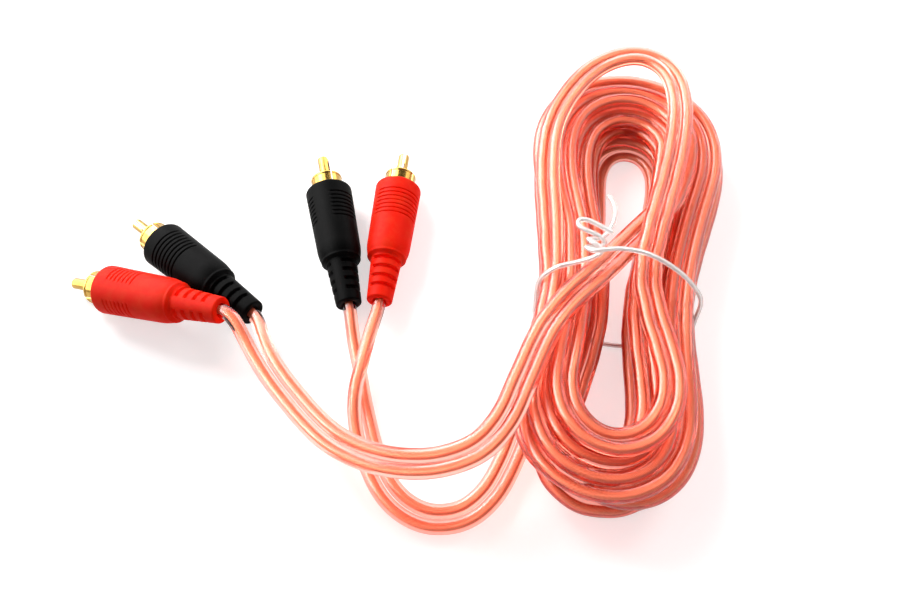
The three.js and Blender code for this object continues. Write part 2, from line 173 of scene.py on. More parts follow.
# cord: two conductors, each twisted copper in a clear jacket, joined side by side

# tail is how far behind a plug's front face a conductor ends; split is where a leg's last points lie
cord = {"jacket": 3.7, "core": 1.3, "pitch": 3.8, "step": 2.4, "tubeStep": 1.25, "jacketSides": 18,
        "coreSides": 14, "tail": 14.1, "split": (2.3, 0.3)}
grip = {"front": 13.4, "rear": 12.3, "length": 19.5, "rim": 0.6, "shoulder": 5.5, "relief": 13.3,
        "reliefFront": 8.7, "reliefEnd": 7.0, "endRound": 0.4, "fillet": 0.35, "filletFrom": 0.82,
        "sides": 120, "mouth": 4, "cordSeat": 6, "shellRoom": 0.03, "cordRoom": 0.05}
plugPlaces = {
    "left_red": {"colour": "red", "x": -93.4, "y": -0.4, "heading": 160.9, "rise": -15, "roll": 29},
    "left_black": {"colour": "black", "x": -81.1, "y": 14.4, "heading": 140, "rise": -6, "roll": 114},
    "centre_black": {"colour": "black", "x": -35.7, "y": 32.7, "heading": 102.4, "rise": 1.6, "roll": 20},
    "centre_red": {"colour": "red", "x": -15.2, "y": 33.8, "heading": 84, "rise": 0, "roll": 75},
}
leftTwinRoute = [
    (-48.0, -23.5, 13.2), (-44.6, -28.2, 13.0), (-39.3, -34.5, 12.9), (-33.8, -40.7, 13.2),
    (-28.0, -46.0, 13.8), (-20.0, -50.4, 14.8), (-11.5, -52.7, 16.0), (-2.3, -52.8, 17.2), (6.9, -49.6, 18.6),
    (12.8, -43.3, 20.0), (17.9, -32.7, 21.4), (23.1, -21.7, 22.3), (29.3, -12.6, 22.4), (37.6, -4.6, 22.2)]
rightTwinRoute = [
    (-20.2, -46.2, 2.1), (-17.6, -52.4, 2.1), (-12.1, -58.6, 2.1), (-4.8, -62.0, 2.2), (3.4, -61.0, 2.3),
    (9.6, -56.1, 2.6), (14.2, -48.5, 3.0), (17.6, -40.7, 3.6)]
legRoutes = {
    "left_red": [(-53.2, -17.1, 15.6)],
    "left_black": [(-48.9, -15.8, 12.2)],
    "centre_black": [(-25.8, -14.6, 3.6), (-23.6, -24.0, 2.1), (-22.0, -31.5, 2.1), (-20.0, -39.0, 2.1)],
    "centre_red": [(-21.1, -13.4, 6.6), (-22.8, -22.0, 6.5), (-24.3, -30.0, 5.6), (-24.3, -38.0, 3.2)],
}


def plugAxes(place):
    turn, lift, twist = (math.radians(place[k]) for k in ("heading", "rise", "roll"))
    pin = np.array([math.cos(turn) * math.cos(lift), math.sin(turn) * math.cos(lift), math.sin(lift)])
    side = np.array([pin[1], -pin[0], 0])
    side /= np.linalg.norm(side)
    rows = side * math.cos(twist) + np.cross(side, pin) * math.sin(twist)
    front = np.array([place["x"], place["y"], grip["front"] / 2 * math.cos(lift)])
    return front, rows, np.cross(pin, rows), pin


def legPath(name, route, side):
    # from the solder tail inside the plug to the split end of the twin cord
    front, _, _, pin = plugAxes(plugPlaces[name])
    gripEnd = grip["length"] + grip["shoulder"] + grip["relief"]
    start, following = np.array(route[0]), np.array(route[1])
    along = (following - start) / np.linalg.norm(following - start)
    across = np.array([-along[1], along[0], 0]) / np.linalg.norm(along[:2])
    end = start + across * side * cord["pitch"] / 2
    tail = cord["tail"]
    inside = [front - pin * back for back in (tail, (gripEnd + tail) / 2, gripEnd - 1, gripEnd + 2)]
    split = [end - along * before for before in cord["split"]]
    return smoothThrough([*inside, *np.array(legRoutes[name]), *split])


# hank: the band's outline is the CAD solid's; the turns are worked out from lanes across and up the band

hank = {"x": 44.3, "y": -6.0, "turn": 9.7, "turns": 9, "nearReach": 49.5, "farReach": 69.5,
        "nearSpread": 14.5, "waistSpread": 11.4, "farSpread": 18.3, "nearBand": 17.0, "waistBand": 17.5,
        "farBand": 25.0, "nearHeight": 17.5, "waistHeight": 19.0, "farHeight": 21.5, "bandStep": 0.4,
        "tieLift": 1.9, "tieSlant": 8.5, "tieRoom": 2.65, "floorGap": 0.1}

# how the turns are laid: lanes across the band, -1 at the hole and 1 outside, and how far they stray in
# place and in lean; where the lead comes in and goes out; where the pair turns over, in turns
winding = {"seed": 7, "comesIn": 30, "goesOut": -12, "farStation": 32, "waistLane": 0.96, "farLane": 0.62,
           "nearLanes": (0.6, -0.9, 1.0, -0.75, 0.75, -0.9, 0.4, -0.7), "stray": (0.05, 12),
           "farStray": (0.28, 14), "riseStray": 0.015, "topRise": 0.88, "drift": 0.55, "driftFrom": 0.12,
           "under": 2 - 0.10, "turnOver": (0.55, 1.1), "step": 0.004, "window": 27}

# how the pair's first path is smoothed, most of all where its stretches meet, in points of the path
joining = {"anywhere": 0.02, "atSeams": 0.5, "reach": 8, "outlet": 4, "rounds": 140, "rollWindow": 19}

# how the conductors settle: the room that each wants, then the strength of each push in a round
settling = {"clear": 3.8, "rounds": 260, "search": 5, "margin": 1, "ownNeighbours": 5, "otherNeighbours": 3,
            "ends": (16, 8), "fade": 12, "inside": (22, 12), "window": 15, "crowd": 0.4, "fromTie": 0.6,
            "push": 1.5, "stiffness": 0.12, "span": 4, "sink": 0.025, "sinkFor": 0.6, "outline": 0.25,
            "bulge": (5, 22), "lid": 2, "press": 0.2, "holeSide": 25}

# the highest turn, by picture pixel and height: from the left band round the near end and over the far end
topTurn = [
    (578, 290, 18.4), (572, 315, 18.4), (559, 352, 18.2), (550, 390, 17.8), (559, 424, 17.2),
    (578, 443, 16.8), (602, 452, 16.6), (628, 447, 16.8), (651, 430, 17.2), (664, 403, 17.8),
    (666, 380, 18.2), (661, 354, 19), (652, 324, 20), (645, 296, 21), (642, 270, 22),
    (646, 245, 22.9), (656, 210, 23), (669, 170, 23), (679, 128, 23), (681, 88, 23), (669, 58, 23),
    (640, 45, 23), (601, 56, 22.6), (571, 84, 22), (553, 118, 21.4), (547, 165, 20.6),
    (549, 210, 19.8), (554, 250, 18.6), (554, 280, 17.4)]


def bandMiddle():
    near, far = hank["nearSpread"], hank["farSpread"]
    points = [(near * math.cos(a), near - hank["nearReach"] + near * math.sin(a))
              for a in np.radians((-90, -45, 0))]
    points.append((hank["waistSpread"], 0))
    points += [(far * math.cos(a), hank["farReach"] - far + far * math.sin(a))
               for a in np.radians((0, 45, 90))]
    points += [(-u, v) for u, v in points[1:-1][::-1]]
    middle = smoothThrough(points, closed=True)
    return evenly(np.vstack([middle, middle[:1]]), hank["bandStep"])[:-1]


band = bandMiddle()
bandAlong = np.roll(band, -1, 0) - np.roll(band, 1, 0)
bandAlong /= np.linalg.norm(bandAlong, axis=1)[:, None]
bandOut = np.stack([bandAlong[:, 1], -bandAlong[:, 0]], 1)


def mixedAlong(v, kind):
    reach = np.where(v < 0, hank["nearReach"], hank["farReach"])
    share = np.clip(np.abs(v) / reach, 0, 1)
    share = share * share * (3 - 2 * share)
    waist = hank["waist" + kind]
    return waist + (np.where(v < 0, hank["near" + kind], hank["far" + kind]) - waist) * share


def hankFloor(v):
    lift = np.exp(-((v + hank["tieSlant"] / 2) / (2 * hank["tieSlant"])) ** 2)
    return hank["floorGap"] + hank["tieLift"] * lift + cord["jacket"] / 2


def turnedBy(points, degrees):
    c, s = math.cos(math.radians(degrees)), math.sin(math.radians(degrees))
    x, y, z = points.T
    return np.column_stack([c * x - s * y, s * x + c * y, z])


def fromHank(points):
    return turnedBy(points, -hank["turn"]) + [hank["x"], hank["y"], 0]


def toHank(points):
    return turnedBy(points - [hank["x"], hank["y"], 0], hank["turn"])


def onBand(turns, across, rise):
    # turns from the near end, anticlockwise; across from -1 at the hole to 1 outside; rise from 0 to 1
    at = (turns % 1) * len(band)
    i = np.floor(at).astype(int) % len(band)
    share = (at - np.floor(at))[:, None]
    j = (i + 1) % len(band)
    middle = band[i] * (1 - share) + band[j] * share
    out = bandOut[i] * (1 - share) + bandOut[j] * share
    v = middle[:, 1]
    half = mixedAlong(v, "Band") / 2 - cord["pitch"]
    low = hankFloor(v)
    high = mixedAlong(v, "Height") - cord["jacket"] / 2
    plan = middle + out * (across * half)[:, None]
    return fromHank(np.column_stack([plan, low + (high - low) * rise]))


# twist tie: a steel wire in a clear cover, round the waist, its ends twisted together on top

tie = {"cover": 1.3, "wire": 0.6, "sides": 10, "wireSides": 8, "step": 0.4, "slack": 1.6,
       "base": (-8.7, 4.6), "lift": 0.2, "axis": (0.14, 0.98, 0.14), "turns": 0.75, "length": 3.6,
       "width": 4.2, "gap": 0.3}
bentTail = [(-2.1, 0.5, 1.2), (-4.2, 1.3, 1.2), (-5.3, 2.4, 1.2), (-5.0, 3.7, 1.3), (-3.2, 4.0, 1.3),
            (-0.8, 3.2, 1.3), (1.6, 2.1, 1.3), (3.8, 1.1, 1.2)]
straightTail = [(2.0, 1.6, -1.0), (3.5, 4.7, -0.6), (4.0, 8.1, 0.2), (3.1, 11.0, 0.8), (1.7, 12.9, 1.2)]


def tiePath():
    # the route of the CAD tie, in the hank's own plan
    radius = tie["cover"] / 2
    outer = hank["waistSpread"] + hank["waistBand"] / 2 + tie["gap"] + radius
    floor = radius + hank["floorGap"]
    waist = hank["waistHeight"]
    top = waist + cord["jacket"] + 2 * tie["gap"] + radius + tie["slack"]
    base = np.array([*tie["base"], top + tie["lift"]])
    axis = np.array(tie["axis"])
    axis /= np.linalg.norm(axis)
    across = np.cross(axis, [0, 0, 1.0])
    across /= np.linalg.norm(across)
    upward = np.cross(across, axis)

    def strand(phase):
        share = (np.arange(7) / 6)[:, None]
        angle = phase + share * tie["turns"] * 2 * math.pi
        return (base + axis * share * tie["length"] + across * np.cos(angle) * tie["width"] / 2
                + upward * np.sin(angle) * (radius + tie["gap"]))

    fromLeft, fromRight = strand(0), strand(math.pi)
    end = (fromLeft[-1] + fromRight[-1]) / 2
    # down the left side, under the hank, up the right side and back across the top
    around = [(-outer + 12.4, 3.2, top - 1.4), (-outer + 7.9, 2, waist + 3.2),
              (-outer + 3.7, 0.6, waist + 2.1), (-outer + 0.2, -0.8, waist - 2.6),
              (-outer, -2.5, waist / 2), (-outer + 0.6, -4.5, 3.6),
              (-outer + 3, -6, floor + 0.8), (-outer + 5.5, -6.8, floor), (-outer + 8, -7.5, floor),
              (0, -hank["tieSlant"], floor), (outer - 8, -7.2, floor), (outer - 5.5, -6.5, floor),
              (outer - 3, -5.7, floor + 0.8), (outer - 0.6, -4, 3.6), (outer, -1.5, waist / 2),
              (outer - 0.3, 0.8, waist - 3.5), (outer - 5, 3, waist + 1.6), (11.5, 4.6, top - 2.5),
              (6, 5.8, top - 0.6), (1.5, 5.9, top + 0.4), (-3, 4.9, top + 1.5), (-8.9, 3.2, top + 1.8)]
    return fromHank(np.vstack([(end + np.array(straightTail))[::-1], fromLeft[::-1], around, fromRight,
                               end + np.array(bentTail)]))


def turnAt(v, right):
    side = band[:, 0] > 0 if right else band[:, 0] < 0
    places = np.nonzero(side)[0]
    return places[np.argmin(np.abs(band[side, 1] - v))] / len(band)


def sampled(keys, first, last):
    # the path and the roll between keys of turn, lane, rise and roll
    keys = np.array(keys)
    turns = np.arange(first, last, winding["step"])
    window = roundWindow(winding["window"])
    across, rise, roll = (evened(np.interp(turns, keys[:, 0], keys[:, k]), window) for k in (1, 2, 3))
    return onBand(turns, across, rise), roll, turns


def windHank():
    random = np.random.default_rng(winding["seed"])
    waistRight, waistLeft = turnAt(0, True), turnAt(0, False)
    farRight, farLeft = turnAt(winding["farStation"], True), turnAt(winding["farStation"], False)
    stations = [0.0, waistRight / 2, waistRight, farRight, 0.5, farLeft, waistLeft, (1 + waistLeft) / 2]
    first, last = turnAt(winding["comesIn"], True), hank["turns"] + turnAt(winding["goesOut"], False)
    # from where the lead comes in to where the highest turn starts
    opening = [(first, -0.75, 0.80, 0), (first + 0.06, -0.4, 0.84, 0), (0.5, 0.0, 0.90, 10),
               (farLeft, 0.35, 0.93, 0), (waistLeft - 0.03, 0.1, 0.97, 0)]
    # two lanes side by side, filled from the top down; at the far end, where there is room, they wander,
    # and at the near end they step out and then in again
    keys = [(winding["under"], 0.95, winding["topRise"], 0)]
    rows = hank["turns"] - 0.5
    for turn in range(2, hank["turns"] + 1):
        lane = 1 if turn % 2 == 0 else -1
        for k, station in enumerate(stations):
            place = turn + station
            if place > last - 0.1:
                break
            far, near = 3 <= k <= 5, k in (0, 1, 7)
            # the lower a turn lies, the further in it stays at the far end
            inward = winding["drift"] * (turn - 2) / hank["turns"] - winding["driftFrom"] if far else 0
            width = (winding["nearLanes"][turn - 2] if near
                     else (winding["farLane"] if far else winding["waistLane"]) * lane)
            wander, tilt = winding["farStray"] if far else winding["stray"]
            rise = winding["topRise"] * (1 - (turn - 2 + station) / rows)
            keys.append((place, np.clip(width - inward + random.normal(0, wander), -1, 1),
                         rise + random.normal(0, winding["riseStray"]), random.normal(0, tilt)))
    keys.append((last, 0.85, 0.0, 0))
    start, startRoll, _ = sampled(opening, first, waistLeft - 0.02)
    rest, restRoll, turns = sampled(keys, winding["under"], last)
    top = smoothThrough([seenAt(*p) for p in topTurn])
    # the pair turns over once, slowly and half way, so that both conductors come out equally long
    overFrom, overFor = winding["turnOver"]
    over = np.clip((turns - hank["turns"] * overFrom) / overFor, 0, 1)
    over = over * over * (3 - 2 * over) * 180
    roll = np.r_[startRoll, np.zeros(len(top)), restRoll + over]
    return np.vstack([start, top, rest]), roll, [top[0], top[-1]]


def pairStart():
    # the lead's whole path, and on it the two conductors' first places
    wound, roll, seams = windHank()
    inward = smoothThrough(leftTwinRoute)
    outward = smoothThrough(rightTwinRoute)[::-1]
    seams = [wound[0], wound[-1], *seams]
    path = np.vstack([inward, wound, outward])
    facts = np.column_stack([
        path, np.r_[np.zeros(len(inward)), roll, np.full(len(outward), 180.0)],
        np.r_[np.zeros(len(inward)), np.ones(len(wound)), np.full(len(outward), 2.0)]])
    far = np.r_[0, np.cumsum(np.linalg.norm(np.diff(path, axis=0), axis=1))]
    at = np.linspace(0, far[-1], int(round(far[-1] / cord["step"])) + 1)
    facts = np.stack([np.interp(at, far, facts[:, k]) for k in range(5)], 1)
    middle, roll, part = facts[:, :3], facts[:, 3], facts[:, 4]
    first, last = np.nonzero(part > 0)[0][0], np.nonzero(part > 1)[0][0]
    strength = np.full(len(middle), joining["anywhere"])
    reach = joining["reach"]
    for seam in seams:
        i = int(np.argmin(np.linalg.norm(middle - seam, axis=1)))
        strength[max(0, i - reach):i + reach + 1] = joining["atSeams"]
    strength[:first - reach] = 0
    strength[last + joining["outlet"]:] = 0
    for _ in range(joining["rounds"]):
        bend = np.zeros_like(middle)
        bend[1:-1] = (middle[:-2] + middle[2:]) / 2 - middle[1:-1]
        middle += bend * strength[:, None]
    count = joining["rollWindow"]
    roll = np.radians(evened(roll, np.ones(count) / count))[:, None]
    along = alongOf(middle)
    across = np.column_stack([-along[:, 1], along[:, 0], np.zeros(len(along))])
    across /= np.linalg.norm(across, axis=1)[:, None]
    side = across * np.cos(roll) + np.cross(along, across) * np.sin(roll)
    half = cord["pitch"] / 2
    return middle - side * half, middle + side * half, first, last


def closePairs(points, own, along):
    # the points that may press on each other, without near neighbours along the cord
    reach = settling["clear"] + settling["margin"]
    squares = (points ** 2).sum(1)
    gaps = squares[:, None] + squares[None] - 2 * points @ points.T
    i, j = np.nonzero(np.triu(gaps < reach * reach, 1))
    apart = np.abs(along[i] - along[j])
    kept = np.where(own[i] == own[j], apart > settling["ownNeighbours"], apart > settling["otherNeighbours"])
    return i[kept], j[kept]


def settlePair(red, black, first, last):
    # the conductors push each other apart until each has its own room, inside the band and above the floor
    count = len(red)
    points = np.vstack([red, black])
    begun = points.copy()
    own = np.repeat([0, 1], count)
    along = np.tile(np.arange(count), 2)
    before, after = settling["ends"]
    free = np.minimum(along - (first - before), (last + after) - along) / settling["fade"]
    free = np.clip(free, 0, 1)[:, None]
    inside = (along > first + settling["inside"][0]) & (along < last - settling["inside"][1])
    window = roundWindow(settling["window"])

    def spread(moves):
        made = np.empty_like(moves)
        for start in (0, count):
            for k in range(3):
                made[start:start + count, k] = evened(moves[start:start + count, k], window)
        return made

    # each point keeps to its own side of the hole
    plan = toHank(points)[:, :2]
    middles = band[::4]
    far = ((plan[:, None] - middles[None]) ** 2).sum(2)
    across = np.sign(plan[:, :1] * middles[None, :, 0]) < 0
    far += np.where(across & (np.abs(plan[:, 1:]) < settling["holeSide"]), 1e4, 0)
    near = np.argmin(far, axis=1) * 4
    wire = toHank(evenly(smoothThrough(tiePath()), 1.5))
    inward = np.column_stack([-wire[:, 0], np.zeros(len(wire)), hank["waistHeight"] / 2 - wire[:, 2]])
    inward /= np.linalg.norm(inward, axis=1)[:, None]

    def fromTie(points):
        # how far each point has to go to lie inside the tie
        pushed = np.zeros_like(points)
        place = toHank(points)
        beside = np.nonzero(np.abs(place[:, 1]) < 20)[0]
        gap = place[beside, None] - wire[None]
        deep = (gap * inward[None]).sum(2)
        aside = (gap ** 2).sum(2) - deep ** 2
        need = np.sqrt(np.clip(hank["tieRoom"] ** 2 - aside, 0, None))
        short = np.where((need > 0) & (deep < need) & (deep > -7), need - deep, 0)
        worst = short.argmax(1)
        pushed[beside] = inward[worst] * short[np.arange(len(beside)), worst][:, None]
        return turnedBy(pushed, -hank["turn"])

    sinkRounds = settling["sinkFor"] * settling["rounds"]
    bulge, waistLength = settling["bulge"]
    span = settling["span"]
    for turn in range(settling["rounds"]):
        if turn % settling["search"] == 0:
            i, j = closePairs(points, own, along)
        ways = np.vstack([alongOf(points[:count]), alongOf(points[count:])])
        gap = points[i] - points[j]
        size = np.linalg.norm(gap, axis=1)
        hit = size < settling["clear"]
        a, b, gap, size = i[hit], j[hit], gap[hit], size[hit]
        push = gap / np.maximum(size, 1e-6)[:, None] * ((settling["clear"] - size) / 2)[:, None]
        moves = np.stack([np.bincount(a, push[:, k], 2 * count) - np.bincount(b, push[:, k], 2 * count)
                          for k in range(3)], 1)
        touching = np.bincount(a, minlength=2 * count) + np.bincount(b, minlength=2 * count)
        moves /= np.maximum(1, touching * settling["crowd"])[:, None]
        moves += fromTie(points) * settling["fromTie"]
        moves -= (moves * ways).sum(1)[:, None] * ways
        points += spread(moves) * settling["push"] * free
        # stiff cord spreads a push along itself, and its weight pulls it down
        shifted = (points - begun).reshape(2, count, 3)
        bend = np.zeros_like(shifted)
        bend[:, span:-span] = (shifted[:, :-2 * span] + shifted[:, 2 * span:]) / 2 - shifted[:, span:-span]
        points += bend.reshape(-1, 3) * settling["stiffness"] * free
        points[:, 2] -= (settling["sink"] if turn < sinkRounds else 0) * free[:, 0]
        # the two conductors stay joined
        gap = points[:count] - points[count:]
        size = np.linalg.norm(gap, axis=1)[:, None]
        share = gap / size * (size - cord["pitch"]) / 2
        points[:count] -= share * free[:count]
        points[count:] += share * free[count:]
        # the band's own outline, firm at the tied waist, and the surface under it
        place = toHank(points)
        v = place[:, 1]
        out = bandOut[near]
        across = ((place[:, :2] - band[near]) * out).sum(1)
        half = mixedAlong(band[near, 1], "Band") / 2 - cord["jacket"] / 2
        room = half + bulge * (1 - np.exp(-(v / waistLength) ** 2))
        over = np.where(inside, np.clip(np.abs(across) - room, 0, None), 0) * np.sign(across)
        place[:, :2] -= out * (settling["outline"] * over * free[:, 0])[:, None]
        low = np.where(inside, hankFloor(v), cord["jacket"] / 2 + hank["floorGap"])
        place[:, 2] = np.where((place[:, 2] < low) & (free[:, 0] > 0), low, place[:, 2])
        high = mixedAlong(v, "Height") + settling["lid"]
        above = np.where(inside, np.clip(place[:, 2] - high, 0, None), 0)
        place[:, 2] -= above * settling["press"] * free[:, 0]
        points = fromHank(place)
    i, j = closePairs(points, own, along)
    size = np.linalg.norm(points[i] - points[j], axis=1)
    print(f"hank settled: {count} points, closest {size.min():.2f} mm")
    return points[:count], points[count:]


# finishes

def linear(code):
    channels = [int(code[k:k + 2], 16) / 255 for k in (1, 3, 5)]
    return [c / 12.92 if c <= 0.04045 else ((c + 0.055) / 1.055) ** 2.4 for c in channels] + [1.0]


def startMaterial(name):
    material = bpy.data.materials.new(name)
    material.use_nodes = True
    tree = material.node_tree
    tree.nodes.clear()
    return material, tree


def addNode(tree, kind, settings=None, links=None, **options):
    # one node with its socket values, its options and what feeds it
    node = tree.nodes.new(kind)
    for key, value in options.items():
        setattr(node, key, value)
    for key, value in (settings or {}).items():
        node.inputs[key].default_value = value
    for key, source in (links or {}).items():
        tree.links.new(source, node.inputs[key])
    return node


def clearPvc(name, tint, shade, through):
    # clear flexible PVC, extruded: wet-looking gloss, and a tint that deepens with each layer light crosses
    material, tree = startMaterial(name)
    place = addNode(tree, "ShaderNodeUVMap", uv_map="turns")
    # slow waves left by the extruder, about 6 mm long, in the gloss only
    waves = addNode(tree, "ShaderNodeTexNoise", {"Scale": 160.0, "Detail": 2.0},
                    {"Vector": place.outputs["UV"]})
    bump = addNode(tree, "ShaderNodeBump", {"Strength": 0.12, "Distance": 0.0001},
                   {"Height": waves.outputs["Fac"]})
    shell = addNode(tree, "ShaderNodeBsdfPrincipled", {
        "Base Color": linear(tint), "Metallic": 0.0, "Roughness": 0.06, "IOR": 1.53,
        "Transmission Weight": through}, {"Normal": bump.outputs["Normal"]})
    # lamps shine through it, and its shadow has a tint of its own
    rays = addNode(tree, "ShaderNodeLightPath")
    passing = addNode(tree, "ShaderNodeBsdfTransparent", {"Color": linear(shade)})
    both = addNode(tree, "ShaderNodeMixShader", links={
        0: rays.outputs["Is Shadow Ray"], 1: shell.outputs["BSDF"], 2: passing.outputs["BSDF"]})
    addNode(tree, "ShaderNodeOutputMaterial", links={"Surface": both.outputs["Shader"]})
    return material


# lay is the length of one twist, in metres
# deep is painted shade: the darker orange put into the grooves between the strands, where shade falls; bright
# is the copper's own colour
copperWire = {"bright": "#ffcaa8", "deep": "#c23c10", "strands": 16, "lay": 0.016}


def twistedCopper():
    # bare stranded copper: soft metal glints along each strand, and painted shade, a darker orange, in the
    # grooves between them
    material, tree = startMaterial("twistedCopper")
    place = addNode(tree, "ShaderNodeUVMap", uv_map="turns")
    parts = addNode(tree, "ShaderNodeSeparateXYZ", links={"Vector": place.outputs["UV"]})
    along = addNode(tree, "ShaderNodeMath", {1: 1 / copperWire["lay"]}, {0: parts.outputs["X"]},
                    operation="MULTIPLY")
    turn = addNode(tree, "ShaderNodeMath", links={0: parts.outputs["Y"], 1: along.outputs[0]},
                   operation="ADD")
    phase = addNode(tree, "ShaderNodeMath", {1: math.pi * copperWire["strands"]}, {0: turn.outputs[0]},
                    operation="MULTIPLY")
    ridge = addNode(tree, "ShaderNodeMath", links={0: phase.outputs[0]}, operation="SINE")
    height = addNode(tree, "ShaderNodeMath", links={0: ridge.outputs[0]}, operation="ABSOLUTE")
    # painted shade: the colour runs from the deep orange in each groove to the bright copper on top of each
    # strand
    colour = addNode(tree, "ShaderNodeValToRGB", links={"Fac": height.outputs[0]})
    colour.color_ramp.elements[0].color = linear(copperWire["deep"])
    colour.color_ramp.elements[1].color = linear(copperWire["bright"])
    colour.color_ramp.elements[0].position = 0.1
    colour.color_ramp.elements[1].position = 0.7
    # the bunch lies unevenly in its jacket: darker and brighter stretches about 12 mm long
    patches = addNode(tree, "ShaderNodeTexNoise", {"Scale": 85.0, "Detail": 2.0},
                      {"Vector": place.outputs["UV"]})
    depth = addNode(tree, "ShaderNodeMapRange",
                    {"From Min": 0.3, "From Max": 0.7, "To Min": 0.68, "To Max": 1.0},
                    {"Value": patches.outputs["Fac"]})
    shaded = addNode(tree, "ShaderNodeHueSaturation", links={"Color": colour.outputs["Color"],
                                                             "Value": depth.outputs["Result"]})
    bump = addNode(tree, "ShaderNodeBump", {"Strength": 0.6, "Distance": 0.00015},
                   {"Height": height.outputs[0]})
    metal = addNode(tree, "ShaderNodeBsdfPrincipled", {"Metallic": 0.8, "Roughness": 0.42},
                    {"Base Color": shaded.outputs["Color"], "Normal": bump.outputs["Normal"]})
    addNode(tree, "ShaderNodeOutputMaterial", links={"Surface": metal.outputs["BSDF"]})
    return material


def clouded(tree, cloud, colours, ends=(0, 1)):
    # a colour that drifts between two, with the place and the cloud that it follows
    place = addNode(tree, "ShaderNodeTexCoord")
    cloud = addNode(tree, "ShaderNodeTexNoise", cloud, {"Vector": place.outputs["Object"]})
    colour = addNode(tree, "ShaderNodeValToRGB", links={"Fac": cloud.outputs["Fac"]})
    for end, code, position in zip(colour.color_ramp.elements, colours, ends):
        end.color, end.position = linear(code), position
    return place, cloud, colour


def mouldedPvc(name, body, rubbed, roughness, sheen):
    # injection-moulded flexible PVC: satin from a lightly blasted mould, a little paler where it is handled
    material, tree = startMaterial(name)
    # handling marks about 4 mm across
    place, marks, colour = clouded(tree, {"Scale": 260.0, "Detail": 4.0, "Roughness": 0.6}, (body, rubbed),
                                   (0.45, 0.85))
    # the mould's grit, about 0.15 mm
    grit = addNode(tree, "ShaderNodeTexNoise", {"Scale": 6500.0, "Detail": 2.0},
                   {"Vector": place.outputs["Object"]})
    bump = addNode(tree, "ShaderNodeBump", {"Strength": 0.10, "Distance": 0.00005},
                   {"Height": grit.outputs["Fac"]})
    gloss = addNode(tree, "ShaderNodeMapRange", {"To Min": roughness - 0.05, "To Max": roughness + 0.08},
                    {"Value": marks.outputs["Fac"]})
    body = addNode(tree, "ShaderNodeBsdfPrincipled",
                   {"Metallic": 0.0, "IOR": 1.53, "Specular IOR Level": sheen},
                   {"Base Color": colour.outputs["Color"], "Roughness": gloss.outputs["Result"],
                    "Normal": bump.outputs["Normal"]})
    addNode(tree, "ShaderNodeOutputMaterial", links={"Surface": body.outputs["BSDF"]})
    return material


def goldPlating():
    # thin gold over nickel on turned brass: a bright, deep yellow mirror, a little cloudy about every 1.5 mm
    material, tree = startMaterial("goldPlating")
    _, cloud, colour = clouded(tree, {"Scale": 700.0, "Detail": 3.0}, ("#9c7430", "#c8a458"))
    gloss = addNode(tree, "ShaderNodeMapRange", {"To Min": 0.12, "To Max": 0.2},
                    {"Value": cloud.outputs["Fac"]})
    metal = addNode(tree, "ShaderNodeBsdfPrincipled", {"Metallic": 1.0},
                    {"Base Color": colour.outputs["Color"], "Roughness": gloss.outputs["Result"]})
    addNode(tree, "ShaderNodeOutputMaterial", links={"Surface": metal.outputs["BSDF"]})
    return material


def naturalPolyethylene():
    # unpigmented polyethylene, moulded: waxy, milky white
    material, tree = startMaterial("naturalPolyethylene")
    _, _, colour = clouded(tree, {"Scale": 400.0}, ("#e6e1d4", "#f3efe6"))
    body = addNode(tree, "ShaderNodeBsdfPrincipled", {"Roughness": 0.5, "IOR": 1.51},
                   {"Base Color": colour.outputs["Color"]})
    addNode(tree, "ShaderNodeOutputMaterial", links={"Surface": body.outputs["BSDF"]})
    return material


def brightWire():
    # soft steel wire, drawn and bright, seen through the tie's cover
    material, tree = startMaterial("brightWire")
    place = addNode(tree, "ShaderNodeUVMap", uv_map="turns")
    lines = addNode(tree, "ShaderNodeTexNoise", {"Scale": 90.0}, {"Vector": place.outputs["UV"]})
    gloss = addNode(tree, "ShaderNodeMapRange", {"To Min": 0.2, "To Max": 0.35},
                    {"Value": lines.outputs["Fac"]})
    metal = addNode(tree, "ShaderNodeBsdfPrincipled", {"Base Color": linear("#e4e4e6"), "Metallic": 1.0},
                    {"Roughness": gloss.outputs["Result"]})
    addNode(tree, "ShaderNodeOutputMaterial", links={"Surface": metal.outputs["BSDF"]})
    return material


clear, copper = clearPvc("clearPvc", "#ffb9aa", "#ffb09a", 1.0), twistedCopper()
milky = clearPvc("milkyPvc", "#fffdfa", "#fcfaf8", 0.7)
moulded = {"red": mouldedPvc("redMouldedPvc", "#ff1e02", "#ff3a1a", 0.5, 0.05),
           "black": mouldedPvc("blackMouldedPvc", "#020202", "#090808", 0.5, 0.03)}
gold, polyethylene, wire = goldPlating(), naturalPolyethylene(), brightWire()


# the lead itself

easing = {"step": 1.2, "strength": 0.5, "reach": 8, "rounds": 60}


def layConductor(name, path, fromPlug, toPlug):
    path = evenly(smoothThrough(evenly(path, cord["step"]), perSpan=3), cord["tubeStep"])
    jacket = tubePiece(name + "_jacket", path, cord["jacket"] / 2, cord["jacketSides"], clear)
    core = tubePiece(name + "_core", path[1:-1], cord["core"] / 2, cord["coreSides"], copper)
    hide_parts(fromPlug + "_leg", toPlug + "_leg", "left_twin_cord", "right_twin_cord", "hank")


def eased(path, places):
    # flexible cord takes the corners where the pair splits in an easy curve
    path = evenly(path, easing["step"])
    strength = np.zeros(len(path))
    for place in places:
        i = int(np.argmin(np.linalg.norm(path - place, axis=1)))
        off = (np.arange(len(path)) - i) / easing["reach"]
        strength = np.maximum(strength, easing["strength"] * np.exp(-off ** 2))
    for _ in range(easing["rounds"]):
        bend = (path[:-2] + path[2:]) / 2 - path[1:-1]
        path[1:-1] += bend * strength[1:-1, None]
    return path


